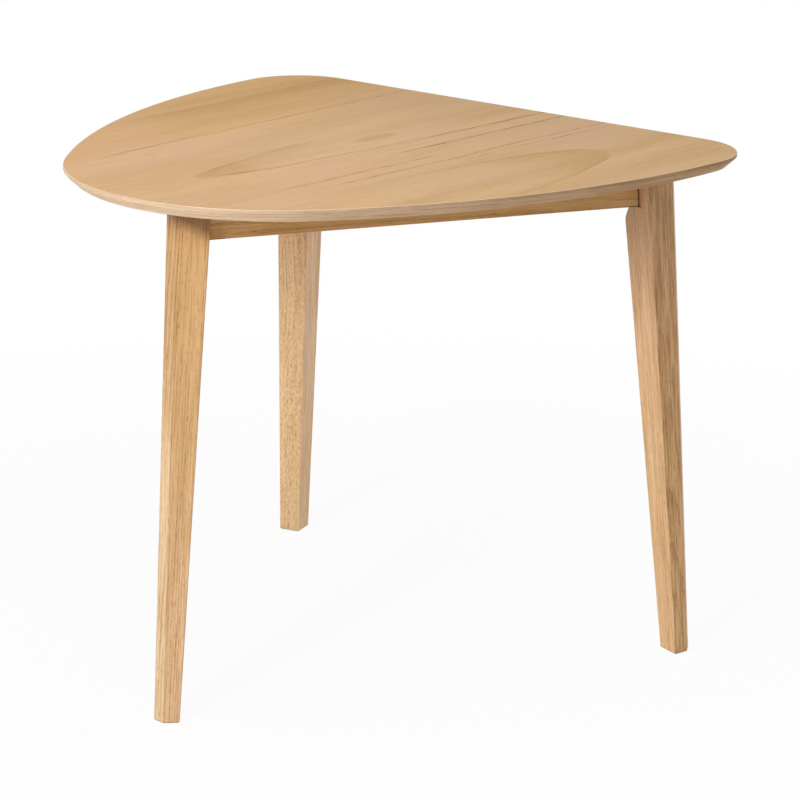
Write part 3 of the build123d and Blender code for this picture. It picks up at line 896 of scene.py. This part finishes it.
def seatOf(part, directions):
    # of the directions that the solid may face, the one it is slimmest across, and the middle of its top
    best = None
    for facing in directions:
        side = facing.orthogonal().normalized()
        ends = [[axis.dot(place) for place in part] for axis in (side, facing.cross(side), facing)]
        spans = [(min(values), max(values)) for values in ends]
        across = sum(high - low for low, high in spans[:2])
        if best is None or across < best[0]:
            middle = [(low + high) / 2 for low, high in spans[:2]]
            seat = side * middle[0] + facing.cross(side) * middle[1] + facing * spans[2][1]
            best = (across, seat, facing)
    return best[1:]


def makeFasteners(nodeName, tree, sizes, directions):
    seats = [seatOf(part, directions) for part in looseParts(nodeName)]
    mesh = bpy.data.meshes.new(nodeName + "Points")
    mesh.from_pydata([seat - facing * sizes["Head Height"] for seat, facing in seats], [], [])
    facings = mesh.attributes.new("facing", "FLOAT_VECTOR", "POINT")
    for number, (seat, facing) in enumerate(seats):
        facings.data[number].vector = facing
    points = addObject(nodeName + "Points", mesh)
    modifier = points.modifiers.new("fasteners", "NODES")
    modifier.node_group = tree
    given = {**sizes, "Material": zincScrew}
    for item in tree.interface.items_tree:
        if item.in_out == "INPUT" and item.name in given:
            modifier[item.identifier] = given[item.name]
    finishPiece(points, nodeName)


def finishPiece(source, nodeName):
    # a plain mesh of what the modifiers make
    evaluated = source.evaluated_get(bpy.context.evaluated_depsgraph_get())
    piece = addObject(nodeName + "Detailed", bpy.data.meshes.new_from_object(evaluated))
    bpy.data.objects.remove(source)
    standFor(piece, nodeName)


def standFor(piece, nodeName):
    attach(piece, "root")
    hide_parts(nodeName)


screwTree = makeFastenerTree(True)
boltTree = makeFastenerTree(False)
outwardOf = {name: (foot - ringCentre).normalized() for name, foot in feet.items()}
acrossFrom = {"right": outwardOf["left"], "back": outwardOf["front"], "left": outwardOf["right"]}
downwards = Vector((0, 0, -1))
for name, outwards in outwardOf.items():
    makeFasteners(name + "_hanger_bolts", boltTree, boltSizes, [-outwards])
    inwards = [facing for facing in acrossFrom.values() if facing is not outwards]
    makeFasteners(name + "_plate_screws", screwTree, screwSizes, inwards)
for name, inwards in acrossFrom.items():
    makeFasteners(name + "_bracket_screws", screwTree, screwSizes, [inwards])
    makeFasteners(name + "_top_screws", screwTree, screwSizes, [downwards])
print("screws and bolts made")


# Glides: a moulded pad with a rolled rim and a shallow hollow round its nail. A profile's points are
# radii and heights.
glideSizes = {
    "sides": 48,
    "profile": [(0.0, 0.0004), (0.0020, 0.0004), (0.0026, 0.0001), (0.0034, 0.0), (0.0080, 0.0),
                (0.0090, 0.00018), (0.0096, 0.0006), (0.0099, 0.0011), (0.0099, 0.0016),
                (0.0097, 0.0019), (0.0093, 0.002), (0.0, 0.002)],
    "nailSides": 16,
    "nail": [(0.0, 0.002), (0.0015, 0.002), (0.0015, 0.0138), (0.0009, 0.0148), (0.0003, 0.0158),
             (0.0, 0.016)],
}


def turnProfile(shape, profile, centre, sides):
    # a closed turned skin; the profile starts and ends on the axis
    turns = [math.tau * number / sides for number in range(sides)]
    loops = []
    for radius, height in profile:
        if radius == 0:
            loops.append([shape.verts.new((centre.x, centre.y, height))] * sides)
        else:
            places = [centre + radius * Vector((math.cos(turn), math.sin(turn), 0)) for turn in turns]
            loops.append([shape.verts.new((place.x, place.y, height)) for place in places])
    for lower, upper in zip(loops, loops[1:]):
        for number in range(sides):
            corners = (lower[number], lower[number - 1], upper[number - 1], upper[number])
            face = shape.faces.new(list(dict.fromkeys(corners)))
            face.smooth = True


def makeGlide(name, foot, sizes):
    shape = bmesh.new()
    turnProfile(shape, sizes["profile"], foot, sizes["sides"])
    turnProfile(shape, sizes["nail"], foot, sizes["nailSides"])
    bmesh.ops.recalc_face_normals(shape, faces=shape.faces)
    mesh = bpy.data.meshes.new(name + "Glide")
    shape.to_mesh(mesh)
    shape.free()
    mesh.materials.append(glidePlastic)
    standFor(addObject(name + "Glide", mesh), name + "_glide")


for name, foot in feet.items():
    makeGlide(name, foot, glideSizes)
print("glides made")


# Studio: pale floor, white surroundings and soft lamps. A lamp's place is its azimuth and elevation in
# degrees, seen from the middle of the table, and its distance.
studioSizes = {
    "floorRadius": 40,
    "floorColour": (0.9, 0.9, 0.9, 1),
    "white": (1, 1, 1, 1),
    "shadowRadius": (0.7, 1.9),
    "cameraShare": (0.94, 1.0),
    "skyStrength": 0.14,
    "lamps": {
        "key": {"from": (-80, 29), "distance": 4.8, "size": (1.2, 2.3), "power": 166},
        "left": {"from": (-135, 20), "distance": 3.6, "size": (1.2, 1.2), "power": 7},
        "above": {"from": (-60, 80), "distance": 3.2, "size": (2.0, 2.0), "power": 27},
        "right": {"from": (58, 16), "distance": 3.6, "size": (1.6, 1.6), "power": 40},
    },
}


def seenAsWhite(tree):
    # 1 for the camera, reflections and what shows through glass, and 0 for light on the table
    path = addNode(tree, "ShaderNodeLightPath").outputs
    seen = calculate(tree, "MAXIMUM", path["Is Camera Ray"], path["Is Glossy Ray"])
    return calculate(tree, "MAXIMUM", seen, path["Is Transmission Ray"])


def makeFloor(sizes):
    radius = sizes["floorRadius"]
    mesh = bpy.data.meshes.new("floor")
    corners = [(-radius, -radius, 0), (radius, -radius, 0), (radius, radius, 0), (-radius, radius, 0)]
    mesh.from_pydata(corners, [], [(0, 1, 2, 3)])
    floor = addObject("floor", mesh)
    material = newMaterial("whiteFloor")
    tree = material.node_tree
    shader = addNode(tree, "ShaderNodeBsdfDiffuse", {"Color": sizes["floorColour"]})
    glow = addNode(tree, "ShaderNodeEmission", {"Color": sizes["white"], "Strength": 1.0})
    # the camera sees the floor as plain white, with the table's shadow near its feet alone
    distance = vectorMath(tree, "LENGTH", objectPlace(tree))["Value"]
    share = stretchRange(tree, distance, *sizes["shadowRadius"], *sizes["cameraShare"])
    share = multiply(tree, seenAsWhite(tree), share)
    mixed = addNode(tree, "ShaderNodeMixShader", {0: share, 1: shader.outputs[0], 2: glow.outputs[0]})
    addNode(tree, "ShaderNodeOutputMaterial", {"Surface": mixed.outputs[0]})
    mesh.materials.append(material)
    floor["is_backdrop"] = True


def makeWorld(sizes):
    world = bpy.data.worlds.new("whiteRoom")
    bpy.context.scene.world = world
    world.use_nodes = True
    tree = world.node_tree
    tree.nodes.clear()
    strength = stretchRange(tree, seenAsWhite(tree), 0.0, 1.0, sizes["skyStrength"], 1.0, "LINEAR")
    glow = addNode(tree, "ShaderNodeBackground", {"Color": sizes["white"], "Strength": strength})
    addNode(tree, "ShaderNodeOutputWorld", {"Surface": glow.outputs[0]})


def makeLamp(name, sizes, aim):
    azimuth, elevation = (math.radians(angle) for angle in sizes["from"])
    level = math.cos(elevation)
    towards = Vector((math.cos(azimuth) * level, math.sin(azimuth) * level, math.sin(elevation)))
    data = bpy.data.lights.new(name, "AREA")
    data.shape = "ELLIPSE"
    data.size, data.size_y = sizes["size"]
    data.energy = sizes["power"]
    lamp = addObject(name, data)
    lamp.location = aim + towards * sizes["distance"]
    lamp.rotation_mode = "QUATERNION"
    lamp.rotation_quaternion = towards.to_track_quat("Z", "Y")


makeFloor(studioSizes)
makeWorld(studioSizes)
middle = (cadBox[0] + cadBox[1]) / 2
for name, sizes in studioSizes["lamps"].items():
    makeLamp(name + "Lamp", sizes, middle)
bpy.context.scene.view_settings.view_transform = "Standard"
print("studio made")

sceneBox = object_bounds()
boxes = {"cad": cadBox, "scene": sceneBox}
{name: [list(corner) for corner in box] for name, box in boxes.items()}
